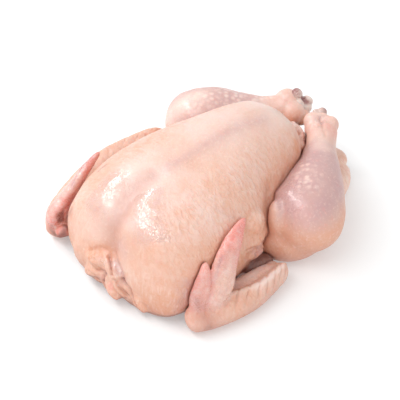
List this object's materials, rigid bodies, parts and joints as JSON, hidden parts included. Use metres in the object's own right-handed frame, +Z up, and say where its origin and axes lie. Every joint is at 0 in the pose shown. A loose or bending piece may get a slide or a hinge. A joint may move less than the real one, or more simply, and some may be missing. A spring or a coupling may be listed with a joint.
{
  "type": "whole raw chicken",
  "caption": "Plucked and drawn raw chicken lying on its back, breast up, with folded wings, legs drawn in at the tail and loose neck skin.",
  "frame": {"origin": "Middle of the bounding box in plan, at the level of the surface that the bird lies on.", "axes": "+X from the neck to the tail, the longest extent; +Y to the bird's left; +Z up through the breast, the shortest extent."},
  "size_m": [0.276, 0.2322, 0.1078],
  "materials": {
    "skin": "moist raw skin, peach on the breast, mauve on the legs"
  },
  "bodies": {
    "root": {"chicken": "skin"}
  },
  "joints": []
}
